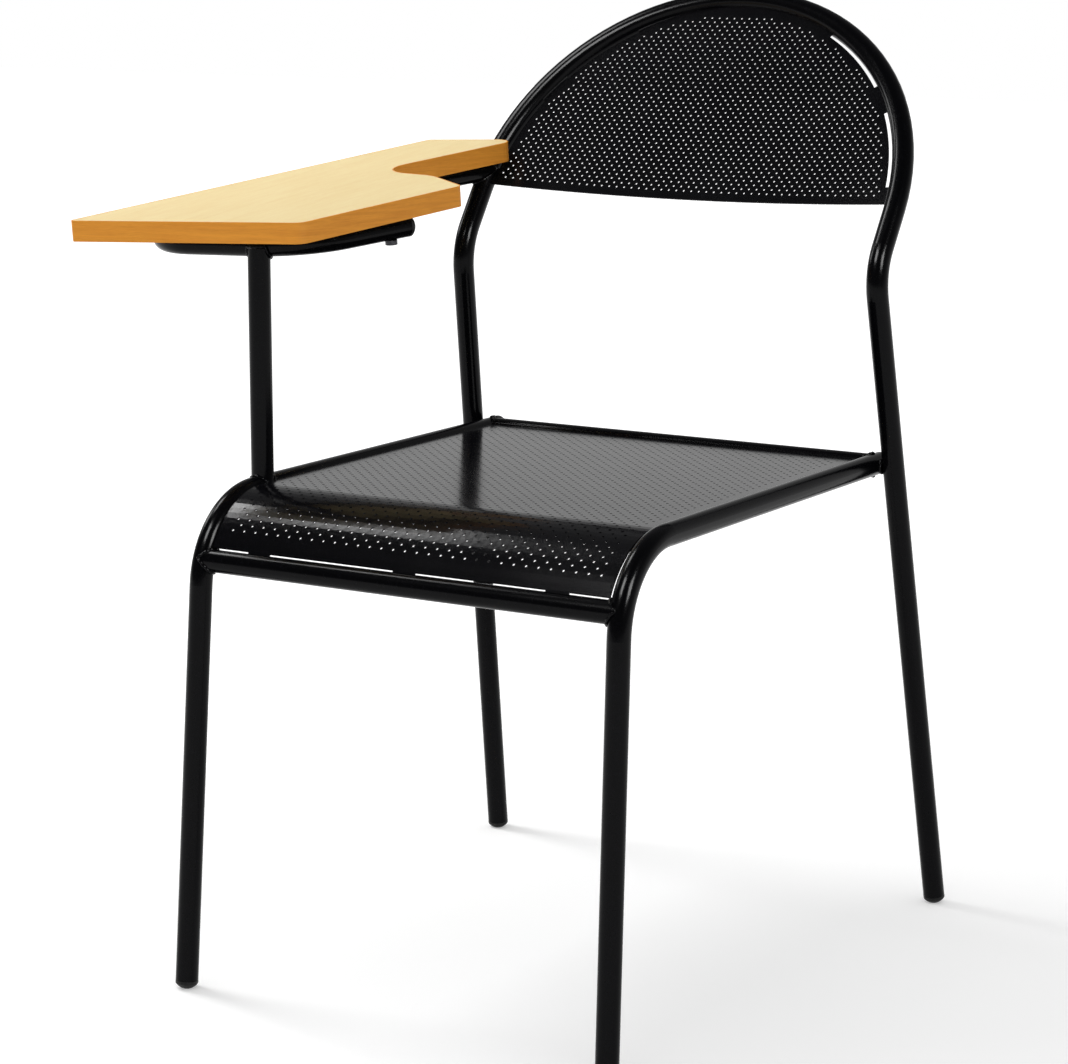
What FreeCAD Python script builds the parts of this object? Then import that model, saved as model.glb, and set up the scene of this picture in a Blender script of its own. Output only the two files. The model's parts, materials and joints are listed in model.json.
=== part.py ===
import FreeCAD, Part
import math
import os

import Sketcher
from FreeCAD import Placement, Rotation, Vector

# Tablet arm chair: a bent steel tube frame, perforated sheet seat and back,
# and a laminated writing board on a tube loop over the sitter's right rail.
# The floor is z = 0, the sitter faces -Y, and the back tubes cross y = 0
# near the height of the seat. Lengths are in millimetres, angles in degrees.

# Openings of the sheets, counted across and along.
SEAT_COLUMNS = 12
FLAT_ROWS = 10
ROLL_ROWS = 2
BACK_COLUMNS = 12

HALF_TURN = 180.0

SIZES = {
    # round tube, used all over the frame
    "tube_diameter": 20.0,
    "tube_wall": 1.5,
    "weld_gap": 0.3,
    # side tubes: a level rail that bends down into the front leg
    "rail_half": 206.4,
    "rail_height": 430.0,
    "rail_tail": 13.0,
    "rail_bend": 78.0,
    "leg_reach": 462.5,
    "foot_reach": 493.0,
    "front_splay": 6.5,
    # back tube: two raked rear legs, a kink, and one arch in a reclined plane
    "kink_height": 610.0,
    "kink_reach": 29.3,
    "kink_bend": 60.0,
    "rear_foot_back": 76.0,
    "rear_splay": 26.0,
    "recline": 34.9,
    "arch_straight": 65.0,
    # cross tubes
    "front_cross_drop": 51.4,
    "rear_cross_back": 2.0,
    # seat sheet
    "seat_rise": 4.0,
    "seat_sheet": 1.5,
    "lip_slot": 2.4,
    "tab_width": 22.0,
    "tab_spacing": 148.0,
    # back sheet, set forward of the arch's middle, with slots along its rim
    "back_sheet": 1.2,
    "back_set": 4.8,
    "back_lower_edge": 68.0,
    "back_dish_low": 12.0,
    "back_dish_top": 1.0,
    "back_slot_width": 2.5,
    "back_slot_angle": 22.8,
    "back_slot_start": 5.7,
    "back_slot_pitch": 31.7,
    # openings of both sheets, a coarse grid with the open share of the fine perforation
    "mesh_border": 14.0,
    "mesh_bar": 20.0,
    # foot plugs and tube end plugs
    "plug_stem": 12.0,
    "plug_root": 2.0,
    "plug_clearance": 0.1,
    "plug_dome": 12.0,
    "plug_head": 8.0,
    "foot_wear": 0.8,
    # tablet: its post stands on the right rail
    "post_reach": 377.0,
    "board_height": 670.5,
    "board_tilt": 5.6,
    "core_thickness": 16.9,
    "laminate": 0.8,
    "edge_band": 1.2,
    # plan of the board, as distances to the right of the centre plane
    # and forward or back of the post
    "front_outer_right": 354.0,
    "front_outer_fore": 79.0,
    "front_inner_right": 140.1,
    "front_inner_fore": 30.1,
    "front_inner_round": 12.0,
    "rear_inner_right": 102.5,
    "rear_inner_back": 166.0,
    "rear_inner_round": 9.0,
    "lobe_turn_right": 159.0,
    "lobe_turn_back": 205.5,
    "lobe_turn_round": 40.0,
    "notch_right": 228.0,
    "notch_back": 214.5,
    "notch_round": 35.0,
    "arm_inner_right": 187.0,
    "arm_inner_back": 407.0,
    "arm_inner_round": 16.0,
    "arm_outer_right": 279.0,
    "arm_outer_back": 384.0,
    "outer_round": 4.0,
    # tube loop under the board, its corners in the same plan
    "loop_front_right": 341.0,
    "loop_front_fore": 18.6,
    "loop_front_bend": 40.0,
    "loop_inner_right": 167.0,
    "loop_inner_back": 8.1,
    "loop_inner_bend": 78.0,
    "loop_end_right": 132.0,
    "loop_end_back": 116.0,
    # board screws, the outer ones measured from the front corner of the loop, the inner one from its end
    "screw_shank": 4.5,
    "screw_head": 11.0,
    "screw_head_height": 4.0,
    "screw_bite": 12.0,
    "screw_hole_play": 0.25,
    "outer_screw_first": 322.3988,
    "outer_screw_second": 142.3988,
    "inner_screw": 17.0,
}

DERIVED = {
    "tube_radius": "sizes.tube_diameter / 2",
    "bore_radius": "sizes.tube_diameter / 2 - sizes.tube_wall",
    "cope_radius": "sizes.tube_diameter / 2 + sizes.weld_gap",
    "rail_length": "2 * sizes.rail_half",
    "rake": "atan((sizes.foot_reach - sizes.leg_reach) / sizes.rail_height)",
    "bend_start": "sizes.leg_reach - sizes.rail_bend * tan(45deg - derived.rake / 2)",
    "arch_radius": "sizes.rail_half + sizes.tube_diameter + sizes.weld_gap"
                   " - sizes.rear_splay * (1 - sizes.rail_height / sizes.kink_height)",
    "cross_rise": "sizes.rail_bend - sizes.front_cross_drop",
    "cross_reach": "derived.bend_start + sqrt(sizes.rail_bend ^ 2 - derived.cross_rise ^ 2)",
    "seat_half": "sizes.rail_half - sqrt(derived.tube_radius ^ 2 - sizes.seat_rise ^ 2)"
                 " - sizes.weld_gap",
    "seat_tail": "sqrt(derived.cope_radius ^ 2 - sizes.seat_rise ^ 2) - sizes.rear_cross_back",
    "seat_inner": "sizes.rail_bend + sizes.seat_rise",
    "seat_outer": "sizes.rail_bend + sizes.seat_rise + sizes.seat_sheet",
    "tab_turn": "acos(1 - (derived.cope_radius ^ 2 - sizes.seat_rise ^ 2)"
                " / (2 * derived.seat_inner * sizes.rail_bend))",
    "tab_angle": "asin(derived.cross_rise / sizes.rail_bend) + derived.tab_turn",
    "tab_drop": "sizes.rail_bend - derived.seat_outer * sin(derived.tab_angle)",
    "lip_drop": "derived.tab_drop - sizes.lip_slot",
    "column_pitch": "(2 * (derived.seat_half - sizes.mesh_border) + sizes.mesh_bar)"
                    f" / {SEAT_COLUMNS}",
    "row_pitch": "(derived.bend_start - derived.seat_tail - sizes.mesh_border + sizes.mesh_bar)"
                 f" / {FLAT_ROWS}",
    "panel_radius": "derived.arch_radius - derived.cope_radius",
    "back_mesh_radius": "derived.panel_radius - sizes.mesh_border",
    "back_mesh_low": "sizes.back_lower_edge + sizes.mesh_border",
    "back_mesh_half": "sqrt(derived.back_mesh_radius ^ 2"
                      " - (derived.back_mesh_low + sizes.mesh_bar - sizes.arch_straight) ^ 2)",
    "back_pitch": f"(2 * derived.back_mesh_half + sizes.mesh_bar) / {BACK_COLUMNS}",
    "board_thickness": "sizes.core_thickness + 2 * sizes.laminate",
    "loop_drop": "derived.board_thickness + derived.cope_radius",
}

doc = FreeCAD.newDocument("tablet_arm_chair")
sizes = doc.addObject("Spreadsheet::Sheet", "sizes")
derived = doc.addObject("Spreadsheet::Sheet", "derived")
for row, (alias, number) in enumerate(SIZES.items(), start=1):
    sizes.set(f"A{row}", alias)
    sizes.set(f"B{row}", str(number))
    sizes.setAlias(f"B{row}", alias)
for row, (alias, formula) in enumerate(DERIVED.items(), start=1):
    derived.set(f"A{row}", alias)
    derived.setAlias(f"B{row}", alias)
    doc.recompute()
    derived.set(f"B{row}", "=" + formula.replace("derived.", ""))
doc.recompute()


def size(alias):
    """Value of one driving size."""
    return float(sizes.get(alias))


def worked(alias):
    """Value of one derived size, as a plain number."""
    value = derived.get(alias)
    return float(getattr(value, "Value", value))


def bind(item, **expressions):
    """Tie properties of an object to expressions over the two sheets."""
    for name, expression in expressions.items():
        item.setExpression(name, expression)
    return item


def cylinder(name, radius, height, placement):
    item = doc.addObject("Part::Cylinder", name)
    item.Placement = placement
    return bind(item, Radius=radius, Height=height)


def torus(name, ring, section, placement):
    item = doc.addObject("Part::Torus", name)
    item.Placement = placement
    return bind(item, Radius1=ring, Radius2=section)


def block(name, length, width, height, placement):
    item = doc.addObject("Part::Box", name)
    item.Placement = placement
    return bind(item, Length=length, Width=width, Height=height)


def common(name, base, tool):
    item = doc.addObject("Part::Common", name)
    item.Base = base
    item.Tool = tool
    return item


def compound(name, pieces):
    item = doc.addObject("Part::Compound", name)
    item.Links = pieces
    return item


def cut(name, base, *tools):
    for number, tool in enumerate(tools, start=1):
        item = doc.addObject("Part::Cut", name if number == len(tools) else f"{name}_step{number}")
        item.Base = base
        item.Tool = tool
        base = item
    return base


def fuse(name, pieces):
    item = doc.addObject("Part::MultiFuse", name)
    item.Shapes = pieces
    return item


def straight_tube(name, length, placement):
    """A hollow straight tube that starts at the placement and runs along its Z."""
    outer = cylinder(f"{name}_outside", "derived.tube_radius", length, placement)
    inner = cylinder(f"{name}_bore", "derived.bore_radius", length, placement)
    return cut(f"{name}_blank", outer, inner)


def turned(axis):
    """Rotation that takes +Z to the given direction."""
    return Rotation(Vector(0, 0, 1), axis)


def origin_plane(body, role):
    return next(item for item in body.Origin.OriginFeatures if item.Role == role)


def new_sketch(body, name, role, offset=0.0):
    sketch = body.newObject("Sketcher::SketchObject", name)
    sketch.AttachmentSupport = [(origin_plane(body, role), "")]
    sketch.MapMode = "FlatFace"
    sketch.AttachmentOffset = Placement(Vector(0, 0, offset), Rotation())
    return sketch


def pin_point(sketch, geo, pos, along, up):
    """Fix a sketch point at (along, up), each a sign and an expression, or None on the axis."""
    for kind, axis, target in (("DistanceX", -2, along), ("DistanceY", -1, up)):
        if target is None:
            sketch.addConstraint(Sketcher.Constraint("PointOnObject", geo, pos, axis))
            continue
        sign, expression, value = target
        ends = (-1, 1, geo, pos) if sign > 0 else (geo, pos, -1, 1)
        index = sketch.addConstraint(Sketcher.Constraint(kind, *ends, value))
        sketch.setExpression(f"Constraints[{index}]", expression)


def round_corner(before, corner, after, radius):
    """Tangent points, middle and centre of an arc that rounds a corner."""
    back = (before - corner).normalize()
    onward = (after - corner).normalize()
    half_turn = (math.pi - back.getAngle(onward)) / 2
    reach = radius * math.tan(half_turn)
    inward = (back + onward).normalize()
    centre = corner + inward * (radius / math.cos(half_turn))
    return corner + back * reach, centre - inward * radius, corner + onward * reach, centre


def path_sketch(body, name, role, corners, bends):
    """A sketch of straight runs through pinned corners, joined by tangent arcs.

    A corner is a pair of targets for pin_point, and a bend is a radius expression with its value.
    """
    sketch = new_sketch(body, name, role)
    at = [Vector(*(0 if t is None else t[0] * t[2] for t in corner), 0) for corner in corners]
    arcs = [round_corner(at[i], at[i + 1], at[i + 2], bend[1]) for i, bend in enumerate(bends)]
    stops = [at[0]]
    for first, middle, last, centre in arcs:
        stops += [first, last]
    stops.append(at[-1])
    runs = [sketch.addGeometry(Part.LineSegment(stops[2 * i], stops[2 * i + 1]), False)
            for i in range(len(at) - 1)]
    marks = [sketch.addGeometry(Part.Point(point), True) for point in at]
    for mark, corner in zip(marks, corners):
        pin_point(sketch, mark, 1, *corner)
    sketch.addConstraint(Sketcher.Constraint("Coincident", runs[0], 1, marks[0], 1))
    sketch.addConstraint(Sketcher.Constraint("Coincident", runs[-1], 2, marks[-1], 1))
    for i, bend in enumerate(bends):
        first, middle, last, centre = arcs[i]
        arc_shape = Part.Arc(first, middle, last)
        arc = sketch.addGeometry(arc_shape, False)
        curve = sketch.Geometry[arc]
        starts_first = (curve.StartPoint - first).Length < (curve.EndPoint - first).Length
        near, far = (1, 2) if starts_first else (2, 1)
        sketch.addConstraint(Sketcher.Constraint("Tangent", runs[i], 2, arc, near))
        sketch.addConstraint(Sketcher.Constraint("Tangent", arc, far, runs[i + 1], 1))
        sketch.addConstraint(Sketcher.Constraint("PointOnObject", marks[i + 1], 1, runs[i]))
        sketch.addConstraint(Sketcher.Constraint("PointOnObject", marks[i + 1], 1, runs[i + 1]))
        radius = sketch.addConstraint(Sketcher.Constraint("Radius", arc, bend[1]))
        sketch.setExpression(f"Constraints[{radius}]", bend[0])
    return sketch


def ring_sketch(body, name, spine):
    """The tube's section, two circles square to the first run of the spine."""
    sketch = body.newObject("Sketcher::SketchObject", name)
    sketch.AttachmentSupport = [(spine, "Edge1")]
    sketch.MapMode = "NormalToEdge"
    sketch.MapPathParameter = 0
    for radius in ("tube_radius", "bore_radius"):
        circle = sketch.addGeometry(Part.Circle(Vector(), Vector(0, 0, 1), worked(radius)), False)
        sketch.addConstraint(Sketcher.Constraint("Coincident", circle, 3, -1, 1))
        index = sketch.addConstraint(Sketcher.Constraint("Radius", circle, worked(radius)))
        sketch.setExpression(f"Constraints[{index}]", f"derived.{radius}")
    return sketch


def bent_tube(name, role, corners, bends, placement):
    """A body that sweeps the tube's section along a flat path."""
    body = doc.addObject("PartDesign::Body", name)
    spine = path_sketch(body, f"{name}_path", role, corners, bends)
    doc.recompute()
    section = ring_sketch(body, f"{name}_section", spine)
    doc.recompute()
    pipe = body.newObject("PartDesign::AdditivePipe", f"{name}_pipe")
    pipe.Profile = section
    pipe.Spine = (spine, [f"Edge{i + 1}" for i in range(2 * len(corners) - 3)])
    body.Placement = placement
    return body


def driven(sign, alias):
    """A target for pin_point that is one driving size."""
    return sign, f"sizes.{alias}", size(alias)


SIDES = {"left": 1, "right": -1}
UP = Vector(0, 0, 1)
tube_radius = worked("tube_radius")
rail_half = size("rail_half")
rail_height = size("rail_height")
sub_parts = []


def keep(label, item):
    """Name a finished sub-part, which also names its file."""
    item.Label = label
    sub_parts.append(item)
    return item


# Side tubes. Each body has its origin on the rail's axis, and leans about it by the splay.
front_leg_axis = Vector(0, size("leg_reach") - size("foot_reach"), -rail_height).normalize()
dome_centre_height = size("plug_dome") - size("foot_wear")
head_overlap = size("plug_dome") - size("plug_head")


def plug_seat_height(axis):
    """Height of the middle of a leg's end, from the dome that touches the floor below it."""
    return dome_centre_height + head_overlap * axis.z


def side_placement(side):
    splay = math.degrees(math.atan2(size("front_splay"), rail_height))
    return Placement(Vector(side * rail_half, 0, rail_height), Rotation(Vector(0, 1, 0), -side * splay))


leg_drop = rail_height - plug_seat_height(front_leg_axis)
leg_end_reach = size("leg_reach") + (size("foot_reach") - size("leg_reach")) * leg_drop / rail_height
LEG_END = "sizes.rail_height - (sizes.plug_dome - sizes.foot_wear) + (sizes.plug_dome - sizes.plug_head)"
LEG_END += " * cos(derived.rake)"
LEG_END_REACH = f"sizes.leg_reach + ({LEG_END}) * tan(derived.rake)"
for word, side in SIDES.items():
    corners = [
        (driven(1, "rail_tail"), None),
        (driven(-1, "leg_reach"), None),
        ((-1, LEG_END_REACH, leg_end_reach), (-1, LEG_END, leg_drop)),
    ]
    bends = [("sizes.rail_bend", size("rail_bend"))]
    tube = bent_tube(f"{word}_side_tube", "YZ_Plane", corners, bends, side_placement(side))
    keep(f"{word}_side_tube", tube)


# Back tube: rear legs, kinks and arch in one length.
recline = math.radians(size("recline"))
up_back = Vector(0, math.sin(recline), math.cos(recline))
arch_radius = worked("arch_radius")


def mirrored(point):
    return Vector(-point.x, point.y, point.z)


kink = Vector(arch_radius, -size("kink_reach"), size("kink_height"))
rear_foot = Vector(arch_radius + size("rear_splay"), size("rear_foot_back"), 0)
rear_leg_axis = (rear_foot - kink).normalize()
rear_leg_end = rear_foot + rear_leg_axis * (plug_seat_height(rear_leg_axis) / rear_leg_axis.z)
spring = kink + up_back * size("arch_straight")
arch_centre = Vector(0, spring.y, spring.z)
arch_top = arch_centre + up_back * arch_radius


def line(start, end):
    return Part.LineSegment(start, end).toShape()


def back_path():
    low, middle, high, centre = round_corner(rear_leg_end, kink, spring, size("kink_bend"))
    left = [line(rear_leg_end, low), Part.Arc(low, middle, high).toShape(), line(high, spring)]
    arch = Part.Arc(spring, arch_top, mirrored(spring)).toShape()
    right = [
        line(mirrored(spring), mirrored(high)),
        Part.Arc(mirrored(high), mirrored(middle), mirrored(low)).toShape(),
        line(mirrored(low), mirrored(rear_leg_end)),
    ]
    return Part.Wire(left + [arch] + right)


def swept(path, radius):
    section = Part.Wire(Part.Circle(rear_leg_end, rear_leg_axis, radius).toShape())
    return path.makePipeShell([section], True, False)


path = back_path()
back_frame = doc.addObject("Part::Feature", "back_frame_tube")
back_frame.Shape = swept(path, tube_radius).cut(swept(path, worked("bore_radius")))
keep("back_frame_tube", back_frame)


# Cross tubes, coped to the side tubes.
along_x = turned(Vector(1, 0, 0))
front_cross = straight_tube(
    "front_cross", "derived.rail_length",
    Placement(Vector(-rail_half, -worked("cross_reach"), rail_height - size("front_cross_drop")), along_x))
bend_centre = Placement(Vector(0, -worked("bend_start"), -size("rail_bend")), along_x)
bend_tools = [
    torus(f"{word}_bend", "sizes.rail_bend", "derived.cope_radius",
          side_placement(side).multiply(bend_centre))
    for word, side in SIDES.items()
]
keep("front_cross_tube", cut("front_cross_tube", front_cross, *bend_tools))

rear_cross = straight_tube(
    "rear_cross", "derived.rail_length",
    Placement(Vector(-rail_half, size("rear_cross_back"), rail_height), along_x))
rail_tools = [
    cylinder(f"{word}_rail", "derived.cope_radius", "sizes.leg_reach",
             Placement(Vector(side * rail_half, size("rail_tail"), rail_height), turned(Vector(0, -1, 0))))
    for word, side in SIDES.items()
]
keep("rear_cross_tube", cut("rear_cross_tube", rear_cross, *rail_tools))


# Seat sheet: flat between the rails, then rolled down over the front with three tabs.
def seat_profile(body):
    sketch = new_sketch(body, "seat_profile", "YZ_Plane")
    start = worked("bend_start")
    tail = worked("seat_tail")
    centre = Vector(-start, -size("rail_bend"), 0)
    top = size("seat_rise") + size("seat_sheet")
    low_angle = math.pi - math.radians(worked("tab_angle"))
    radii = (worked("seat_outer"), worked("seat_inner"))
    ends = [centre + Vector(math.cos(low_angle), math.sin(low_angle), 0) * r for r in radii]
    arcs = [Part.ArcOfCircle(Part.Circle(centre, UP, r), math.pi / 2, low_angle) for r in radii]
    rear_top = Vector(-tail, top, 0)
    rear_low = Vector(-tail, size("seat_rise"), 0)
    front_top = Vector(-start, top, 0)
    front_low = Vector(-start, size("seat_rise"), 0)
    upper = sketch.addGeometry(Part.LineSegment(rear_top, front_top), False)
    outer = sketch.addGeometry(arcs[0], False)
    edge = sketch.addGeometry(Part.LineSegment(ends[0], ends[1]), False)
    inner = sketch.addGeometry(arcs[1], False)
    lower = sketch.addGeometry(Part.LineSegment(front_low, rear_low), False)
    rear = sketch.addGeometry(Part.LineSegment(rear_low, rear_top), False)
    for rule in (
        ("Tangent", upper, 2, outer, 1), ("Coincident", outer, 2, edge, 1),
        ("Coincident", edge, 2, inner, 2), ("Tangent", inner, 1, lower, 1),
        ("Coincident", lower, 2, rear, 1), ("Coincident", rear, 2, upper, 1),
        ("Coincident", outer, 3, inner, 3), ("Vertical", rear),
        ("Horizontal", upper), ("Horizontal", lower), ("PointOnObject", outer, 3, edge),
    ):
        sketch.addConstraint(Sketcher.Constraint(*rule))
    pin_point(sketch, outer, 3, (-1, "derived.bend_start", start), driven(-1, "rail_bend"))
    for geo, alias, value in ((outer, "seat_outer", radii[0]), (inner, "seat_inner", radii[1])):
        index = sketch.addConstraint(Sketcher.Constraint("Radius", geo, value))
        sketch.setExpression(f"Constraints[{index}]", f"derived.{alias}")
    for kind, geo, pos, alias, value in (
        ("DistanceX", rear, 1, "seat_tail", tail),
        ("DistanceY", outer, 2, "tab_drop", worked("tab_drop")),
    ):
        index = sketch.addConstraint(Sketcher.Constraint(kind, geo, pos, -1, 1, value))
        sketch.setExpression(f"Constraints[{index}]", f"derived.{alias}")
    return sketch


seat = doc.addObject("PartDesign::Body", "seat_body")
seat.Placement = Placement(Vector(0, 0, rail_height), Rotation())
seat_pad = seat.newObject("PartDesign::Pad", "seat_pad")
seat_pad.Profile = seat_profile(seat)
seat_pad.Midplane = True
bind(seat_pad, Length="2 * derived.seat_half")
doc.recompute()


def slot_box(name, start, width):
    """A block that opens the lip between two tabs, from the lip down past the tabs."""
    low = rail_height - worked("lip_drop") - worked("seat_inner")
    return block(name, width, "sizes.leg_reach", "derived.seat_inner",
                 Placement(Vector(start, -size("foot_reach"), low), Rotation()))


tab_half = size("tab_width") / 2
BETWEEN_TABS = "sizes.tab_spacing - sizes.tab_width"
BESIDE_TABS = "derived.seat_half - sizes.tab_spacing"
slots = [
    slot_box("slot_right_end", -worked("seat_half") - tab_half, BESIDE_TABS),
    slot_box("slot_right", tab_half - size("tab_spacing"), BETWEEN_TABS),
    slot_box("slot_left", tab_half, BETWEEN_TABS),
    slot_box("slot_left_end", size("tab_spacing") + tab_half, BESIDE_TABS),
]
post_clearance = cylinder(
    "post_clearance", "derived.cope_radius", "sizes.rail_height",
    Placement(Vector(-rail_half, -size("post_reach"), rail_height), Rotation()))


def seat_column(number):
    """A tall block through the whole depth of the seat, one opening wide."""
    start = size("mesh_border") - worked("seat_half") + number * worked("column_pitch")
    corner = Vector(start, -size("foot_reach"), rail_height - worked("seat_outer"))
    return block(f"seat_column_{number}", "derived.column_pitch - sizes.mesh_bar", "sizes.foot_reach",
                 "2 * derived.seat_outer", Placement(corner, Rotation()))


def seat_row(name, centre, lift, turn):
    """A flat block across the seat, one opening deep, turned down about a centre under it."""
    opening = worked("row_pitch") - size("mesh_bar")
    corner = Vector(-worked("seat_half"), -opening / 2, lift - size("seat_sheet"))
    place = Placement(centre, Rotation(Vector(1, 0, 0), turn)).multiply(Placement(corner, Rotation()))
    return block(name, "2 * derived.seat_half", "derived.row_pitch - sizes.mesh_bar",
                 "3 * sizes.seat_sheet", place)


def seat_rows():
    opening = worked("row_pitch") - size("mesh_bar")
    first = worked("seat_tail") + size("mesh_border") + opening / 2
    rows = [seat_row(f"flat_row_{i}", Vector(0, -first - i * worked("row_pitch"), rail_height),
                     size("seat_rise"), 0) for i in range(FLAT_ROWS)]
    roll_centre = Vector(0, -worked("bend_start"), rail_height - size("rail_bend"))
    for i in range(ROLL_ROWS):
        turn = (size("mesh_bar") + opening / 2 + i * worked("row_pitch")) / worked("seat_outer")
        rows.append(seat_row(f"roll_row_{i}", roll_centre, worked("seat_inner"), math.degrees(turn)))
    return rows


seat_mesh = common("seat_mesh", compound("seat_columns", [seat_column(i) for i in range(SEAT_COLUMNS)]),
                   compound("seat_rows", seat_rows()))
keep("seat_panel", cut("seat_panel", seat, post_clearance, *slots, seat_mesh))


# Back sheet: a half disc inside the arch, dished towards its lower edge.
arch_frame = Placement(Vector(0, kink.y, kink.z), Rotation(Vector(1, 0, 0), -size("recline")))


def strip(height, dish):
    """The edge of the sheet at one height, a thin strip hollow towards the sitter."""
    half = arch_radius
    near = -size("back_set")
    far = near + size("back_sheet")
    corners = [Vector(x, y, height) for x, y in ((-half, near), (half, near), (half, far), (-half, far))]
    front = Part.Arc(corners[0], Vector(0, near + dish, height), corners[1]).toShape()
    back = Part.Arc(corners[2], Vector(0, far + dish, height), corners[3]).toShape()
    return Part.Wire([front, line(corners[1], corners[2]), back, line(corners[3], corners[0])])


panel_top = size("arch_straight") + arch_radius
dished = doc.addObject("Part::Feature", "dished_sheet")
strips = [strip(size("back_lower_edge"), size("back_dish_low")), strip(panel_top, size("back_dish_top"))]
dished.Shape = Part.makeLoft(strips, True, True)
dished.Placement = arch_frame

arch_place = arch_frame.multiply(Placement(Vector(0, 0, size("arch_straight")), turned(Vector(0, 1, 0))))
arch_tool = torus("arch_tool", "derived.arch_radius", "derived.cope_radius", arch_place)
disc_place = arch_place.multiply(Placement(Vector(0, 0, -tube_radius), Rotation()))
DISC_DEPTH = "sizes.back_dish_low + sizes.back_sheet + sizes.tube_diameter"
disc = cylinder("panel_disc", "derived.arch_radius", DISC_DEPTH, disc_place)
half_disc = common("half_disc", dished, disc)


def slot_ring(name, start):
    """A narrow arc cut in the rim of the sheet, so that tabs are left between the cuts."""
    place = disc_place.multiply(Placement(Vector(), Rotation(UP, start)))
    outer = cylinder(f"{name}_outside", "derived.arch_radius + sizes.weld_gap", DISC_DEPTH, place)
    inner = cylinder(f"{name}_inside", "derived.panel_radius - sizes.back_slot_width", DISC_DEPTH, place)
    bind(outer, Angle="sizes.back_slot_angle")
    return cut(name, outer, inner)


low_slot = size("back_slot_start")
high_slot = low_slot + size("back_slot_pitch")
slot_span = size("back_slot_angle")
rings = [
    slot_ring("left_low_slot", -low_slot - slot_span),
    slot_ring("left_high_slot", -high_slot - slot_span),
    slot_ring("right_low_slot", low_slot - HALF_TURN),
    slot_ring("right_high_slot", high_slot - HALF_TURN),
]


def back_block(name, start, low, length, height):
    """A block through the dished sheet, from one corner in the plane of the arch."""
    place = arch_frame.multiply(Placement(Vector(start, -tube_radius, low), Rotation()))
    return block(name, length, DISC_DEPTH, height, place)


def back_mesh():
    """Openings of the back sheet, as many in each column as fit under the arch."""
    low = worked("back_mesh_low")
    pitch = worked("back_pitch")
    opening = pitch - size("mesh_bar")
    across = "derived.back_pitch - sizes.mesh_bar"
    columns = []
    most = 0
    for i in range(BACK_COLUMNS):
        start = i * pitch - worked("back_mesh_half")
        outer = max(abs(start), abs(start + opening))
        reach = size("arch_straight") + math.sqrt(worked("back_mesh_radius") ** 2 - outer ** 2) - low
        fitting = int((reach + size("mesh_bar")) // pitch)
        most = max(most, fitting)
        tall = f"{fitting} * derived.back_pitch - sizes.mesh_bar / 2"
        columns.append(back_block(f"back_column_{i}", start, low, across, tall))
    rows = []
    for i in range(most):
        start = -worked("panel_radius")
        rows.append(back_block(f"back_row_{i}", start, low + i * pitch, "2 * derived.panel_radius", across))
    return common("back_mesh", compound("back_columns", columns), compound("back_rows", rows))


keep("back_panel", cut("back_panel", half_disc, arch_tool, *rings, back_mesh()))


# Tablet: everything here is laid out in the tilted plane of the board's top.
tablet_frame = Placement(
    Vector(0, -size("post_reach"), size("board_height")), Rotation(Vector(1, 0, 0), size("board_tilt")))


def on_tablet(x, y, z):
    return tablet_frame.multiply(Placement(Vector(x, y, z), Rotation()))


def board_outline():
    """Corners of the board in plan, each with its rounding."""
    return [
        (-size("front_outer_right"), -size("front_outer_fore"), size("outer_round")),
        (-size("front_inner_right"), -size("front_inner_fore"), size("front_inner_round")),
        (-size("rear_inner_right"), size("rear_inner_back"), size("rear_inner_round")),
        (-size("lobe_turn_right"), size("lobe_turn_back"), size("lobe_turn_round")),
        (-size("notch_right"), size("notch_back"), size("notch_round")),
        (-size("arm_inner_right"), size("arm_inner_back"), size("arm_inner_round")),
        (-size("arm_outer_right"), size("arm_outer_back"), size("outer_round")),
    ]


def rounded_wire(corners):
    points = [Vector(x, y, 0) for x, y, radius in corners]
    count = len(points)
    rounds = [round_corner(points[i - 1], points[i], points[(i + 1) % count], corners[i][2])
              for i in range(count)]
    edges = []
    for i in range(count):
        first, middle, last, centre = rounds[i]
        edges += [Part.Arc(first, middle, last).toShape(), line(last, rounds[(i + 1) % count][0])]
    return Part.Wire(edges)


outline = doc.addObject("Part::Feature", "board_outline")
outline.Shape = Part.Face(rounded_wire(board_outline()))
core_outline = doc.addObject("Part::Offset2D", "core_outline")
core_outline.Source = outline
core_outline.Mode = "Skin"
bind(core_outline, Value="-sizes.edge_band")
doc.recompute()


def slab(name, face, thickness, depth):
    """A flat layer of the board, its top at a depth under the board's top, clear of the arch."""
    item = doc.addObject("Part::Extrusion", f"{name}_whole")
    item.Base = face
    item.DirMode = "Custom"
    item.Dir = Vector(0, 0, -1)
    item.Solid = True
    bind(item, LengthFwd=thickness)
    item.Placement = on_tablet(0, 0, -depth)
    return cut(name, item, arch_tool)


laminate = size("laminate")
core_low = laminate + size("core_thickness")
core = slab("core_layer", core_outline, "sizes.core_thickness", laminate)
under = slab("under_layer", core_outline, "sizes.laminate", core_low)
keep("top_laminate", slab("top_laminate", core_outline, "sizes.laminate", 0.0))
band_outside = slab("band_outside", outline, "derived.board_thickness", 0.0)
band_inside = slab("band_inside", core_outline, "derived.board_thickness", 0.0)
keep("edge_band", cut("edge_band", band_outside, band_inside))

# Tube loop under the board, from the back tube round to its plugged end.
loop_drop = worked("loop_drop")
loop_place = on_tablet(0, 0, -loop_drop)
into_loop = loop_place.inverse()


def loop_rear_end():
    """Where the loop's plane meets the axis of the back tube, on the right side."""
    normal = loop_place.Rotation.multVec(UP)
    rise = normal.dot(loop_place.Base - arch_centre) / normal.dot(up_back)
    across = math.sqrt(arch_radius ** 2 - max(rise, 0) ** 2)
    return into_loop.multVec(arch_centre + up_back * rise - Vector(across, 0, 0))


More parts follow.
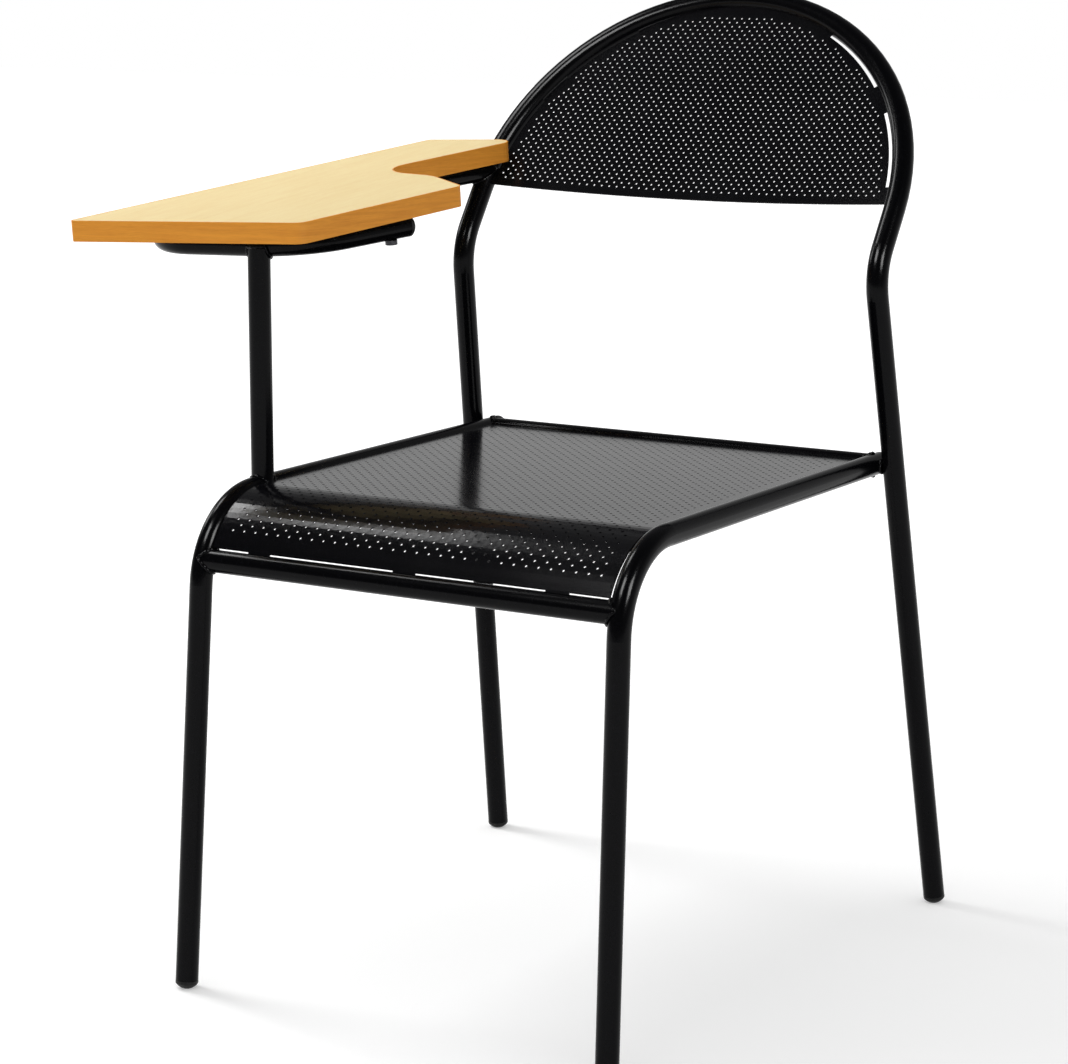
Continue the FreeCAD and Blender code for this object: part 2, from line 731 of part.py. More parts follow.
loop_rear = loop_rear_end()
loop_corners = [
    ((-1, str(-loop_rear.x), -loop_rear.x), (1, str(loop_rear.y), loop_rear.y)),
    (driven(-1, "loop_front_right"), driven(-1, "loop_front_fore")),
    (driven(-1, "loop_inner_right"), driven(1, "loop_inner_back")),
    (driven(-1, "loop_end_right"), driven(1, "loop_end_back")),
]
loop_bends = [("sizes.loop_front_bend", size("loop_front_bend")),
              ("sizes.loop_inner_bend", size("loop_inner_bend"))]
loop = bent_tube("loop_body", "XY_Plane", loop_corners, loop_bends, loop_place)
corner_points = [Vector(*(t[0] * t[2] for t in corner), 0) for corner in loop_corners]
loop_rear_point, loop_front, loop_inner, loop_end = corner_points


def along(start, end, distance):
    return start + (end - start).normalize() * distance


screw_spots = [
    along(loop_front, loop_rear_point, size("outer_screw_first")),
    along(loop_front, loop_rear_point, size("outer_screw_second")),
    along(loop_end, loop_inner, size("inner_screw")),
]
SHANK = "sizes.tube_diameter + sizes.weld_gap + sizes.laminate + sizes.screw_bite"


def screw_place(spot, lift):
    return loop_place.multiply(Placement(spot + Vector(0, 0, lift), Rotation()))


def screw_cylinders(name, radius):
    return [cylinder(f"{name}_{i}", radius, SHANK, screw_place(spot, -tube_radius))
            for i, spot in enumerate(screw_spots, start=1)]


tube_holes = screw_cylinders("tube_hole", "sizes.screw_shank / 2 + sizes.screw_hole_play")
keep("tablet_support_tube", cut("tablet_support_tube", loop, arch_tool, *tube_holes))
core_holes = screw_cylinders("core_hole", "sizes.screw_shank / 2")
keep("writing_board_core", cut("writing_board_core", core, *core_holes))
under_holes = screw_cylinders("under_hole", "sizes.screw_shank / 2")
keep("bottom_laminate", cut("bottom_laminate", under, *under_holes))


def screw(number, spot):
    shank = cylinder(f"shank_{number}", "sizes.screw_shank / 2", SHANK, screw_place(spot, -tube_radius))
    head = cylinder(f"head_{number}", "sizes.screw_head / 2", "sizes.screw_head_height",
                    screw_place(spot, -tube_radius - size("screw_head_height")))
    return fuse(f"screw_{number}", [head, shank])


screws = [screw(number, spot) for number, spot in enumerate(screw_spots, start=1)]
keep("board_screws", compound("board_screws", screws))

# Post between the right rail and the front run of the loop.
post = straight_tube(
    "post", "sizes.board_height - sizes.rail_height",
    Placement(Vector(-rail_half, -size("post_reach"), rail_height), Rotation()))
front_run = cylinder(
    "front_run", "derived.cope_radius", "sizes.board_height",
    Placement(loop_place.multVec(along(loop_front, loop_inner, -size("board_height") / 2)),
              turned(loop_place.Rotation.multVec(loop_inner - loop_front))))
above_run = block("above_run", "sizes.rail_height", "sizes.rail_height", "sizes.board_height",
                  on_tablet(-rail_half - rail_height / 2, -rail_height / 2, -loop_drop))
post_rail = cylinder(
    "post_rail", "derived.cope_radius", "sizes.leg_reach",
    Placement(Vector(-rail_half, 0, rail_height), turned(Vector(0, -1, 0))))
keep("tablet_post", cut("tablet_post", post, post_rail, front_run, above_run))


# Plugs in the open ends of the tubes.
def plug(name, seat_point, axis, floor=False):
    """A domed plug whose stem goes up the bore from the seat, against the given outward axis."""
    outward = Placement(seat_point, turned(axis))
    inward = Placement(seat_point + axis * size("plug_root"), turned(axis * -1))
    head = cylinder(f"{name}_head", "derived.tube_radius", "sizes.plug_head", outward)
    dome = doc.addObject("Part::Sphere", f"{name}_dome")
    bind(dome, Radius="sizes.plug_dome")
    dome.Placement = Placement(seat_point - axis * head_overlap, turned(axis))
    domed = common(f"{name}_domed", head, dome)
    stem = cylinder(f"{name}_stem", "derived.bore_radius - sizes.plug_clearance",
                    "sizes.plug_stem + sizes.plug_root", inward)
    whole = fuse(f"{name}_whole", [domed, stem])
    if not floor:
        return whole
    reach = size("tube_diameter")
    corner = Vector(seat_point.x - reach, seat_point.y - reach, -size("plug_dome"))
    wide = "2 * sizes.tube_diameter"
    ground = block(f"{name}_ground", wide, wide, "sizes.plug_dome", Placement(corner, Rotation()))
    return cut(f"{name}_worn", whole, ground)


for word, side in SIDES.items():
    place = side_placement(side)
    leg_end = place.multVec(Vector(0, -leg_end_reach, -leg_drop))
    leg_axis = place.Rotation.multVec(front_leg_axis)
    keep(f"front_{word}_foot", plug(f"front_{word}_foot", leg_end, leg_axis, floor=True))
    rear_end = rear_leg_end if side > 0 else mirrored(rear_leg_end)
    rear_axis = rear_leg_axis if side > 0 else mirrored(rear_leg_axis)
    keep(f"rear_{word}_foot", plug(f"rear_{word}_foot", rear_end, rear_axis, floor=True))
    tail = Vector(side * rail_half, size("rail_tail"), rail_height)
    keep(f"{word}_rail_plug", plug(f"{word}_rail_plug", tail, Vector(0, 1, 0)))
loop_end_axis = loop_place.Rotation.multVec((loop_end - loop_inner).normalize())
keep("support_tube_plug", plug("support_tube_plug", loop_place.multVec(loop_end), loop_end_axis))

doc.recompute()

for item in doc.Objects:
    if "Invalid" in item.State or "Error" in item.State:
        raise RuntimeError(f"{item.Label} failed: {item.State}")
for item in sub_parts:
    if item.Shape.isNull() or not item.Shape.isValid():
        raise RuntimeError(f"{item.Label} has no valid shape")

os.makedirs("parts", exist_ok=True)
for item in sub_parts:
    item.Shape.exportStep(f"parts/{item.Label}.step")
    box = item.Shape.BoundBox
    print(f"{item.Label:22s} solids {len(item.Shape.Solids)} volume {item.Shape.Volume:10.0f}"
          f"  x {box.XMin:7.1f} {box.XMax:7.1f}  y {box.YMin:7.1f} {box.YMax:7.1f}"
          f"  z {box.ZMin:7.1f} {box.ZMax:7.1f}")
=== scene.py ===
# %% [markdown]
# A tablet arm chair: a welded frame of black steel tube, a perforated seat and back, and a
# writing board on the sitter's right. The tubes, plugs and board come from the CAD model
# and only need a finish. Loading them first gives every later step real places to work from.

# %% Load the chair
import json
import math

import bmesh
import bpy
from mathutils import Matrix, Vector


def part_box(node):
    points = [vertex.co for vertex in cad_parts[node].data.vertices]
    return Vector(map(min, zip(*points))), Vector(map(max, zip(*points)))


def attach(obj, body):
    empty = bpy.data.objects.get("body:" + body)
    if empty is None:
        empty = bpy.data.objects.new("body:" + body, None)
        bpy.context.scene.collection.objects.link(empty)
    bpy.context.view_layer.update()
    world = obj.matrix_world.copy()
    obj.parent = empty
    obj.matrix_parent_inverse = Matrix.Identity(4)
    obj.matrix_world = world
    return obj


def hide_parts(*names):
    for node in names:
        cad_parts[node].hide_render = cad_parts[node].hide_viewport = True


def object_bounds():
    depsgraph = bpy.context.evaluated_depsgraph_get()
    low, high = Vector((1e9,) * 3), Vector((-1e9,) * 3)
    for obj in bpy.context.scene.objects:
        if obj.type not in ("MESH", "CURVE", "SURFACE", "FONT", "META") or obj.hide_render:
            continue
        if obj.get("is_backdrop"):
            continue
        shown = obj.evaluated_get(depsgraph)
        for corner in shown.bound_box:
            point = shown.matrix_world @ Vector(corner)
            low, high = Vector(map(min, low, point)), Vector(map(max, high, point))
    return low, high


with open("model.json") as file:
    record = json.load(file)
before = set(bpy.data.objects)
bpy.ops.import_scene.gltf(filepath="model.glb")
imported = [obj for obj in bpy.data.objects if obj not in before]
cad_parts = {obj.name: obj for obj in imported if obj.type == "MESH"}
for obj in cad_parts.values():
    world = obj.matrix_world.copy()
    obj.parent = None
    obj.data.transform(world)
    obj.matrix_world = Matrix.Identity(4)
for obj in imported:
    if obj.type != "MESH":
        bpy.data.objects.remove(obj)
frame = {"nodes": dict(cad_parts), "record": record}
cad_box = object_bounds()


def show_box(title, box):
    print(title, [[round(c, 4) for c in corner] for corner in box])


show_box("CAD box", cad_box)


# %% [markdown]
# Every finish on the chair varies a little from place to place. Pictures could show that,
# but they blur close up and have to be fitted to each surface. Noise from nodes stays sharp
# at any distance. A few helpers wire the nodes, so that each finish below reads as a short
# recipe, in which a value is a number or another node's output.

# %% Node helpers
def new_material(name):
    material = bpy.data.materials.new(name)
    material.use_nodes = True
    material.node_tree.nodes.clear()
    return material, material.node_tree


def add_node(tree, kind, inputs=None, **settings):
    """A node with its settings, and its inputs by name or number set or linked."""
    node = tree.nodes.new(kind)
    for key, value in settings.items():
        setattr(node, key, value)
    for key, value in (inputs or {}).items():
        socket = node.inputs[key]
        if isinstance(value, bpy.types.NodeSocket):
            tree.links.new(value, socket)
        else:
            socket.default_value = value
    return node


def object_coords(tree, scale=(1.0, 1.0, 1.0)):
    place = add_node(tree, "ShaderNodeTexCoord").outputs["Object"]
    return add_node(tree, "ShaderNodeMapping", {"Vector": place, "Scale": scale}).outputs["Vector"]


def noise(tree, place, **inputs):
    return add_node(tree, "ShaderNodeTexNoise", {"Vector": place, **inputs}).outputs["Fac"]


# %% Node helpers for what the noise changes
def ramp(tree, factor, stops):
    """Colours between two stops, each a place and a colour."""
    node = add_node(tree, "ShaderNodeValToRGB", {"Fac": factor})
    for element, (place, colour) in zip(node.color_ramp.elements, stops):
        element.position = place
        element.color = (*colour, 1.0)
    return node.outputs["Color"]


def to_range(tree, value, low, high, start=0.0, end=1.0):
    """A value from start to end becomes one from low to high."""
    inputs = {"Value": value, "From Min": start, "From Max": end, "To Min": low, "To Max": high}
    return add_node(tree, "ShaderNodeMapRange", inputs).outputs["Result"]


def bumps(tree, height, strength, distance):
    inputs = {"Height": height, "Strength": strength, "Distance": distance}
    return add_node(tree, "ShaderNodeBump", inputs).outputs["Normal"]


def surface(tree, **inputs):
    named = {key.replace("_", " "): value for key, value in inputs.items()}
    shader = add_node(tree, "ShaderNodeBsdfPrincipled", named)
    add_node(tree, "ShaderNodeOutputMaterial", {"Surface": shader.outputs["BSDF"]})


# %% [markdown]
# The steel is sprayed with deep black gloss. Seen straight on it is nearly black, and only
# a low view along the seat shows much reflection, so the specular level is low and the
# surface smooth. A plain black gloss would look like a mirror. Real spray paint has a fine
# orange peel, patches that flowed out smoother, and a little dust. Three noises do that.

# %% Black paint
PEEL_DEPTH = 0.0003
DUST_LIFT = 2.5
SMOOTHER, ROUGHER = 0.03, 0.04


def black_paint(name, base, specular, roughness, peel):
    material, tree = new_material(name)
    place = object_coords(tree)
    fine = noise(tree, place, Scale=700.0, Detail=2.0)
    broad = noise(tree, place, Scale=14.0, Detail=4.0)
    dust = noise(tree, place, Scale=260.0, Detail=6.0)
    dusty = tuple(c * DUST_LIFT for c in base)
    surface(tree, Base_Color=ramp(tree, dust, [(0.55, base), (0.9, dusty)]),
            Roughness=to_range(tree, broad, roughness - SMOOTHER, roughness + ROUGHER),
            Specular_IOR_Level=specular, Normal=bumps(tree, fine, peel, PEEL_DEPTH))
    return material


tube_paint = black_paint("tube_paint", (0.0018, 0.0018, 0.0024), 0.08, 0.17, 0.05)
sheet_paint = black_paint("sheet_paint", (0.0025, 0.0025, 0.0034), 0.16, 0.15, 0.02)
print("paints", tube_paint.name, sheet_paint.name)

# %% [markdown]
# The writing board is a wood board faced with pale maple laminate, and its edge is a thin
# orange-brown band. Both are printed with grain. A picture of wood would repeat itself, so
# one stretched noise makes the broad grain and another the fibres. On the laminate the
# grain runs along the board, so the noise is stretched along Y. On the band it runs round
# the board, so it is squeezed in height.

# %% Board finishes
FIBRE_SHARE = 0.35
FIBRE_DEPTH = 0.0003
ALONG_BOARD = (14.0, 1.0, 14.0)
ROUND_BOARD = (2.0, 2.0, 40.0)


def blend(tree, share, first, second):
    inputs = {0: share, 2: first, 3: second}
    return add_node(tree, "ShaderNodeMix", inputs, data_type="FLOAT").outputs[0]


def printed_wood(name, light, dark, streak, roughness):
    material, tree = new_material(name)
    place = object_coords(tree, streak)
    grain = noise(tree, place, Scale=9.0, Detail=8.0, Roughness=0.62, Distortion=0.4)
    fibre = noise(tree, place, Scale=70.0, Detail=3.0)
    print_tone = blend(tree, FIBRE_SHARE, grain, fibre)
    surface(tree, Base_Color=ramp(tree, print_tone, [(0.36, dark), (0.62, light)]),
            Roughness=to_range(tree, grain, roughness - 0.05, roughness + 0.07),
            Specular_IOR_Level=0.2, Normal=bumps(tree, fibre, 0.05, FIBRE_DEPTH))
    return material


maple = printed_wood("maple_laminate", (0.87, 0.71, 0.38), (0.83, 0.64, 0.31), ALONG_BOARD, 0.50)
edge_brown = printed_wood("edge_band_brown", (0.90, 0.365, 0.037), (0.75, 0.27, 0.024),
                          ROUND_BOARD, 0.46)
print("board", maple.name, edge_brown.name)


# %% [markdown]
# Three small finishes are left. The core of the board is particle board, and the cells of a
# Voronoi texture look like its chips. The plugs are black plastic with the fine grain of a
# mould and some scuffs. The screws are blackened steel, a dark metal with dull blotches.

# %% Core, plugs and screws
def chip_board(name):
    material, tree = new_material(name)
    chips = add_node(tree, "ShaderNodeTexVoronoi", {"Vector": object_coords(tree), "Scale": 420.0})
    stops = [(0.1, (0.36, 0.22, 0.10)), (0.7, (0.62, 0.45, 0.26))]
    surface(tree, Base_Color=ramp(tree, chips.outputs["Distance"], stops), Roughness=0.85)
    return material


def moulded_plastic(name):
    material, tree = new_material(name)
    place = object_coords(tree)
    grit = noise(tree, place, Scale=1400.0, Detail=3.0)
    scuff = noise(tree, place, Scale=180.0, Detail=5.0)
    stops = [(0.45, (0.005, 0.005, 0.005)), (0.8, (0.016, 0.016, 0.015))]
    surface(tree, Base_Color=ramp(tree, scuff, stops), Roughness=0.45, Specular_IOR_Level=0.2,
            Normal=bumps(tree, grit, 0.2, 0.0002))
    return material


def blackened_steel(name):
    material, tree = new_material(name)
    blotch = noise(tree, object_coords(tree), Scale=500.0, Detail=3.0)
    stops = [(0.3, (0.030, 0.030, 0.033)), (0.7, (0.065, 0.065, 0.070))]
    surface(tree, Base_Color=ramp(tree, blotch, stops), Metallic=1.0,
            Roughness=to_range(tree, blotch, 0.3, 0.45))
    return material


core_chips = chip_board("particle_board")
plug_plastic = moulded_plastic("plug_plastic")
screw_steel = blackened_steel("blackened_steel")
print("small finishes", core_chips.name, plug_plastic.name, screw_steel.name)

# %% [markdown]
# The record of the chair names a material slot for every node. Each node could be given its
# finish by name, but looking it up by slot leaves no list to keep in step with the record.

# %% Give every CAD node its finish
finishes = {
    "frame_paint": tube_paint,
    "sheet_paint": sheet_paint,
    "board_core": core_chips,
    "board_laminate": maple,
    "board_edge": edge_brown,
    "plug_plastic": plug_plastic,
    "screw_steel": screw_steel,
}
for row in frame["record"]["subparts"]:
    mesh = frame["nodes"][row["node"]].data
    mesh.materials.clear()
    mesh.materials.append(finishes[row["material_slot"]])


# %% [markdown]
# The seat and back are perforated sheet with staggered rows of holes. Cutting thousands of
# holes with booleans is slow. A hole can also be made by bevelling a vertex: on a grid whose
# squares are each split in four, eight edges meet at every corner, so a one-step vertex bevel
# leaves an eight-sided face to delete. Turning the grid by 45 degrees gives the staggered
# rows. The sheet is cut to its outline and bent while it has no thickness, and a Solidify
# modifier adds that last.

# %% Staggered grid
def staggered_grid(width, length, across, along):
    """A turned grid that covers a sheet from (-width / 2, 0) to (width / 2, length)."""
    bm = bmesh.new()
    cells = int(math.hypot(width, length) / across * math.sqrt(2)) + 2
    cells += cells % 2
    bmesh.ops.create_grid(bm, x_segments=cells, y_segments=cells, size=0.5)
    side = cells * across / math.sqrt(2)
    turn = Matrix.Rotation(math.pi / 4, 4, "Z")
    stretch = Matrix.Diagonal((1.0, 2 * along / across, 1.0, 1.0))
    centre = Matrix.Translation((0.0, length / 2, 0.0))
    bmesh.ops.transform(bm, matrix=centre @ stretch @ turn @ Matrix.Scale(side, 4), verts=bm.verts)
    far = [v for v in bm.verts
           if abs(v.co.x) > width / 2 + across or not -across < v.co.y < length + across]
    bmesh.ops.delete(bm, geom=far, context="VERTS")
    return bm


# %% Holes
TOLERANCE = 1e-6


def trim(bm, co, no):
    """Cut away the side of a plane that its normal points to."""
    bmesh.ops.bisect_plane(bm, geom=bm.verts[:] + bm.edges[:] + bm.faces[:], dist=TOLERANCE,
                           plane_co=co, plane_no=no, clear_outer=True)


def perforated(width, length, across, along, hole, is_open):
    """A flat sheet with staggered rows of holes where is_open says so."""
    bm = staggered_grid(width, length, across, along)
    holes = [v for v in bm.verts if is_open(v.co.x, v.co.y)]
    bmesh.ops.poke(bm, faces=bm.faces)
    made = bmesh.ops.bevel(bm, geom=holes, offset=hole / 2, offset_type="OFFSET", segments=1,
                           profile=0.5, affect="VERTICES", material=-1)
    bmesh.ops.delete(bm, geom=made["faces"], context="FACES")
    for co, no in (((-width / 2, 0, 0), (-1, 0, 0)), ((width / 2, 0, 0), (1, 0, 0)),
                   ((0, 0, 0), (0, -1, 0)), ((0, length, 0), (0, 1, 0))):
        trim(bm, co, no)
    print("holes", len(holes), "faces", len(bm.faces))
    return bm


# %% From a bmesh to a piece
def object_from(bm, name, material):
    mesh = bpy.data.meshes.new(name)
    bm.to_mesh(mesh)
    bm.free()
    mesh.materials.append(material)
    piece = bpy.data.objects.new(name, mesh)
    bpy.context.scene.collection.objects.link(piece)
    return piece


def finish_sheet(bm, name, thickness, node, material):
    """Make the bent sheet an object with its thickness behind its face, in place of a CAD node."""
    piece = object_from(bm, name, material)
    wall = piece.modifiers.new("thickness", "SOLIDIFY")
    wall.thickness = thickness
    wall.offset = -1.0
    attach(piece, "root")
    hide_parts(node)
    print(name, len(piece.data.vertices), "points")


# %% [markdown]
# The seat sheet lies flat between the rails and rolls down over the front bend of the side
# tubes. Below its lip three tabs reach the front cross tube, and light shows in the slots
# between. It could be modelled bent, but holes are easier to lay out on the flat blank.
# First come the sizes, in metres, and where the bend starts and ends along the blank.

# %% Seat sizes
RAIL_HEIGHT = 0.430
RAIL_BEND = 0.078
LEG_REACH = 0.4625
FOOT_REACH = 0.493
LIP_SLOT = 0.0016
SEAT_LOW, SEAT_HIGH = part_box("seat_panel")
SEAT_TOP = SEAT_HIGH.z
SEAT_HALF = SEAT_HIGH.x
SEAT_REAR = SEAT_HIGH.y
BEND_HEIGHT = RAIL_HEIGHT - RAIL_BEND
SEAT_ROLL = SEAT_TOP - BEND_HEIGHT
LEG_RAKE = math.atan((FOOT_REACH - LEG_REACH) / RAIL_HEIGHT)
BEND_START = LEG_REACH - RAIL_BEND * math.tan(math.pi / 4 - LEG_RAKE / 2)
flat_length = BEND_START + SEAT_REAR
tab_angle = math.acos((SEAT_LOW.z - BEND_HEIGHT) / SEAT_ROLL)
lip_angle = math.acos((SEAT_LOW.z + LIP_SLOT - BEND_HEIGHT) / SEAT_ROLL)
tab_length = flat_length + tab_angle * SEAT_ROLL
lip_length = flat_length + lip_angle * SEAT_ROLL
print("seat blank", round(2 * SEAT_HALF, 4), "by", round(lip_length, 4), "m")

# %% [markdown]
# The blank is bent by a formula: past the start of the bend, distance along the sheet
# becomes an angle round the bend. A Simple Deform modifier bends too, but the whole sheet
# at once. The tabs are small grids that are bent with the rest.

# %% Seat sheet
SEAT_SHEET = 0.0015
SEAT_PITCH = 0.0118
SEAT_ROWS = 0.0059
SEAT_HOLE = 0.0026
SEAT_MARGIN = 0.013
LIP_MARGIN = 0.018
TAB_WIDTH = 0.022
TAB_SPACING = 0.148


def roll_seat(x, along):
    if along <= flat_length:
        return Vector((x, SEAT_REAR - along, SEAT_TOP))
    angle = (along - flat_length) / SEAT_ROLL
    return Vector((x, -BEND_START - SEAT_ROLL * math.sin(angle),
                   BEND_HEIGHT + SEAT_ROLL * math.cos(angle)))


def seat_hole(x, along):
    inside = abs(x) < SEAT_HALF - SEAT_MARGIN
    return inside and SEAT_MARGIN < along < lip_length - LIP_MARGIN


seat_bm = perforated(2 * SEAT_HALF, lip_length, SEAT_PITCH, SEAT_ROWS, SEAT_HOLE, seat_hole)
for middle in (-TAB_SPACING, 0.0, TAB_SPACING):
    tab = bmesh.ops.create_grid(seat_bm, x_segments=4, y_segments=2, size=0.5)["verts"]
    tab_size = Matrix.Diagonal((TAB_WIDTH, tab_length - lip_length, 1.0, 1.0))
    tab_place = Matrix.Translation((middle, (lip_length + tab_length) / 2, 0.0))
    bmesh.ops.transform(seat_bm, matrix=tab_place @ tab_size, verts=tab)
for vert in seat_bm.verts:
    vert.co = roll_seat(vert.co.x, vert.co.y)
bmesh.ops.reverse_faces(seat_bm, faces=seat_bm.faces)
finish_sheet(seat_bm, "seat_sheet", SEAT_SHEET, "seat_panel", sheet_paint)

# %% [markdown]
# The back sheet is a half disc inside the arch, set a little ahead of the tube's middle. It
# is hollow for the sitter's back, most at its lower edge. The same way of working fits: a
# flat blank in the plane of the arch, then a formula that pushes each point backward.

# %% Back sizes and the hollow
TUBE_RADIUS = 0.010
WELD_GAP = 0.0003
ARCH_STRAIGHT = 0.065
ARCH_RADIUS = 0.21903
RECLINE = math.radians(34.9)
UP_BACK = Vector((0.0, math.sin(RECLINE), math.cos(RECLINE)))
BACKWARD = Vector((0.0, math.cos(RECLINE), -math.sin(RECLINE)))
KINK_MIDDLE = Vector((0.0, -0.0293, 0.610))
BACK_LOWER = 0.068
BACK_SET = 0.0048
DISH_LOW = 0.012
DISH_TOP = 0.001
DISC_CENTRE = ARCH_STRAIGHT - BACK_LOWER
RIM_SLOT = 0.0025
RIM = ARCH_RADIUS - TUBE_RADIUS - WELD_GAP - RIM_SLOT


def dish_back(x, up):
    share = up / (ARCH_RADIUS + DISC_CENTRE)
    depth = (DISH_LOW + (DISH_TOP - DISH_LOW) * share) * (1 - (x / ARCH_RADIUS) ** 2)
    flat = KINK_MIDDLE + Vector((x, 0.0, 0.0)) + UP_BACK * (BACK_LOWER + up)
    return flat + BACKWARD * (depth - BACK_SET)


print("back blank", round(2 * RIM, 4), "by", round(RIM + DISC_CENTRE, 4), "m")

# %% [markdown]
# Four slots follow the rim, and the tabs between them reach the tube. Many small straight
# cuts round the blank to the disc. Each tab is a grid wrapped round the rim, and is given
# by the angle of its middle and half its width, in degrees.

# %% Back sheet
BACK_SHEET = 0.0012
BACK_PITCH = 0.0080
BACK_ROWS = 0.0044
BACK_HOLE = 0.0021
BACK_MARGIN = 0.009
RIM_MARGIN = 0.005
RIM_SIDES = 96
TAB_ARCS = ((2.85, 2.85), (32.95, 4.45), (90.0, 29.8), (147.05, 4.45), (177.15, 2.85))
TAB_LAP = 0.0012


def back_hole(x, up):
    return up > BACK_MARGIN and math.hypot(x, up - DISC_CENTRE) < RIM - RIM_MARGIN


back_bm = perforated(2 * RIM, RIM + DISC_CENTRE, BACK_PITCH, BACK_ROWS, BACK_HOLE, back_hole)
for side in range(RIM_SIDES + 1):
    angle = math.pi * side / RIM_SIDES
    outward = Vector((math.cos(angle), math.sin(angle), 0.0))
    trim(back_bm, Vector((0.0, DISC_CENTRE, 0.0)) + outward * RIM, outward)
for middle, half in TAB_ARCS:
    tab = bmesh.ops.create_grid(back_bm, x_segments=2, y_segments=12, size=0.5)["verts"]
    for vert in tab:
        angle = math.radians(middle + 2 * half * vert.co.y)
        radius = RIM + (RIM_SLOT + TAB_LAP) * (vert.co.x + 0.5)
        up = max(DISC_CENTRE + radius * math.sin(angle), 0.0)
        vert.co = Vector((radius * math.cos(angle), up, 0.0))
for vert in back_bm.verts:
    vert.co = dish_back(vert.co.x, vert.co.y)
finish_sheet(back_bm, "back_sheet", BACK_SHEET, "back_panel", sheet_paint)

# %% [markdown]
# Wherever one tube ends on another, a painted weld bead runs round the joint. A plain torus
# would be too even, so each bead starts as a small circle spun about the branch tube, and
# gets a slight ripple, the trace of the welder's steps.

# %% Weld bead
BEAD_RADIUS = 0.0019
BEAD_SIDES = 10
BEAD_STEPS = 60
BEAD_RIPPLES = 15
BEAD_RIPPLE = 0.14
weld_bm = bmesh.new()


def spun_ring(radius, section):
    """A ring about Z, spun from a small circle, with the ripple of a weld."""
    ring = bmesh.new()
    place = Matrix.Translation((radius, 0, 0)) @ Matrix.Rotation(math.pi / 2, 4, "X")
    bmesh.ops.create_circle(ring, segments=BEAD_SIDES, radius=section, matrix=place)
    bmesh.ops.spin(ring, geom=ring.verts[:] + ring.edges[:], cent=(0, 0, 0), axis=(0, 0, 1),
                   angle=2 * math.pi, steps=BEAD_STEPS, use_merge=True)
    bmesh.ops.remove_doubles(ring, verts=ring.verts, dist=TOLERANCE)
    bmesh.ops.recalc_face_normals(ring, faces=ring.faces)
    for vert in ring.verts:
        angle = math.atan2(vert.co.y, vert.co.x)
        middle = Vector((radius * math.cos(angle), radius * math.sin(angle), 0.0))
        swell = 1 + BEAD_RIPPLE * math.sin(BEAD_RIPPLES * angle)
        vert.co = middle + (vert.co - middle) * swell
    return ring


def add_bead(ring, place):
    """Put a finished ring in its place and join it to the other beads."""
    bmesh.ops.transform(ring, matrix=place, verts=ring.verts)
    mesh = bpy.data.meshes.new("bead")
    ring.to_mesh(mesh)
    ring.free()
    weld_bm.from_mesh(mesh)
    bpy.data.meshes.remove(mesh)


# %% [markdown]
# A real joint of two round tubes is a saddle. A boolean would find it, but leaves ragged
# edges. Sliding every point of the ring along the branch until it touches the main tube
# gives the same curve: the distance to the main tube's axis has to equal its radius, which
# is a quadratic equation.

# %% Saddle of a joint
def saddle_bead(foot, branch, on_main, main):
    """A bead round a branch tube, slid along it from its foot until it lies on the main tube."""
    turn = branch.to_track_quat("Z", "Y").to_matrix().to_4x4()
    along = turn.inverted() @ main.normalized()
    offset = turn.inverted() @ (on_main - foot)
    ring = spun_ring(TUBE_RADIUS, BEAD_RADIUS)
    for vert in ring.verts:
        angle = math.atan2(vert.co.y, vert.co.x)
        on_tube = Vector((TUBE_RADIUS * math.cos(angle), TUBE_RADIUS * math.sin(angle), 0.0))
        start = on_tube - offset
        a = 1 - along.z ** 2
        b = start.z - along.z * start.dot(along)
        c = start.length_squared - start.dot(along) ** 2 - TUBE_RADIUS ** 2
        vert.co.z += (math.sqrt(max(b * b - a * c, 0.0)) - b) / a
    add_bead(ring, Matrix.Translation(foot) @ turn)


# %% [markdown]
# The post stands on the right rail and carries the front run of the tube loop, and the loop
# ends on the back tube. The places below are points on the middle lines of those tubes.

# %% Welds of the tablet's tubes
RAIL_HALF = 0.2064
POST_REACH = 0.377
LOOP_FRONT = Vector((-0.3410, -0.3927, 0.6400))
LOOP_INNER = Vector((-0.1670, -0.3661, 0.6426))
LOOP_REAR = Vector((-0.2180, 0.0199, 0.6805))
along_rail = Vector((0.0, 1.0, 0.0))
front_run = LOOP_INNER - LOOP_FRONT
post_head = LOOP_FRONT + front_run * ((-RAIL_HALF - LOOP_FRONT.x) / front_run.x)
post_top = Vector((-RAIL_HALF, -POST_REACH, post_head.z))
post_foot = Vector((-RAIL_HALF, -POST_REACH, RAIL_HEIGHT))
saddle_bead(post_foot, Vector((0, 0, 1)), post_foot, along_rail)
saddle_bead(post_top, Vector((0, 0, -1)), post_head, front_run)
rear_radial = LOOP_REAR - (KINK_MIDDLE + UP_BACK * ARCH_STRAIGHT)
rear_tangent = rear_radial.cross(BACKWARD)
saddle_bead(LOOP_REAR, (LOOP_FRONT - LOOP_REAR).normalized(), LOOP_REAR, rear_tangent)
print("post runs from", round(post_foot.z, 4), "to", round(post_top.z, 4), "m")

# %% [markdown]
# The cross tubes end on the side tubes. The rails only touch the back tubes from inside, so
# a flat ring about the point of touch stands for those welds.

